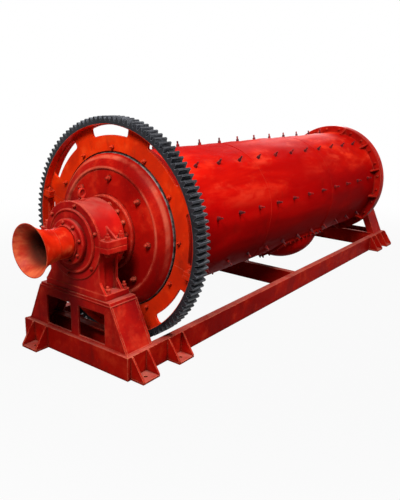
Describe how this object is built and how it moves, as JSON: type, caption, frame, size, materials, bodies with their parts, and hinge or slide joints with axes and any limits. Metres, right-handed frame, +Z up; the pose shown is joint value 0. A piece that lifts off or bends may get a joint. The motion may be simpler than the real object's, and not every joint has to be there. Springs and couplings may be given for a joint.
{
  "type": "ball mill",
  "caption": "Grinding ball mill on a channel skid: red drum on trunnion bearings, black girth gear with slotted web, trumpet spouts and trapezoid stands.",
  "frame": {"origin": "on the ground, midway between the two spout mouths and under the drum's axis", "axes": "+X along the drum from the feed and gear end to the discharge end, +Z up, the near side of the picture is -Y"},
  "size_m": [4.526, 1.368, 1.404],
  "materials": {
    "frame_paint": "satin",
    "stand_paint": "satin",
    "bearing_paint": "satin",
    "bearing_metal": "satin",
    "drum_paint": "satin",
    "head_paint": "satin",
    "journal_steel": "ground",
    "spout_paint": "satin",
    "gear_iron": "black paint on the rim, orange-red paint on the web"
  },
  "bodies": {
    "base": {"side_beam_front": "frame_paint", "side_beam_back": "frame_paint", "end_beam_feed": "frame_paint", "end_beam_discharge": "frame_paint", "cross_member_feed": "frame_paint", "cross_member_middle": "frame_paint", "cross_member_discharge": "frame_paint", "foot_plates": "frame_paint", "foot_gussets": "frame_paint", "stand_outer_plate_feed": "stand_paint", "stand_inner_plate_feed": "stand_paint", "stand_side_plates_feed": "stand_paint", "stand_top_plate_feed": "stand_paint", "bearing_base_feed": "bearing_paint", "bearing_cap_feed": "bearing_paint", "bearing_cover_feed": "bearing_paint", "bearing_gland_feed": "bearing_paint", "bearing_bush_feed": "bearing_metal", "stand_outer_plate_discharge": "stand_paint", "stand_inner_plate_discharge": "stand_paint", "stand_side_plates_discharge": "stand_paint", "stand_top_plate_discharge": "stand_paint", "bearing_base_discharge": "bearing_paint", "bearing_cap_discharge": "bearing_paint", "bearing_cover_discharge": "bearing_paint", "bearing_gland_discharge": "bearing_paint", "bearing_bush_discharge": "bearing_metal"},
    "drum": {"drum_shell": "drum_paint", "shell_flange_feed": "drum_paint", "flange_ribs_feed": "drum_paint", "mill_head_feed": "head_paint", "trunnion_feed": "journal_steel", "spout_tube_feed": "spout_paint", "spout_mouth_feed": "spout_paint", "shell_flange_discharge": "drum_paint", "flange_ribs_discharge": "drum_paint", "mill_head_discharge": "head_paint", "trunnion_discharge": "journal_steel", "spout_tube_discharge": "spout_paint", "spout_mouth_discharge": "spout_paint", "girth_gear_upper": "gear_iron", "girth_gear_lower": "gear_iron", "manhole_neck": "drum_paint", "manhole_cover": "drum_paint"}
  },
  "joints": [
    {"name": "drum_spin", "type": "hinge", "parent": "base", "child": "drum", "pos_m": [0, 0, 0.72], "axis": [1, 0, 0], "continuous": true}
  ]
}
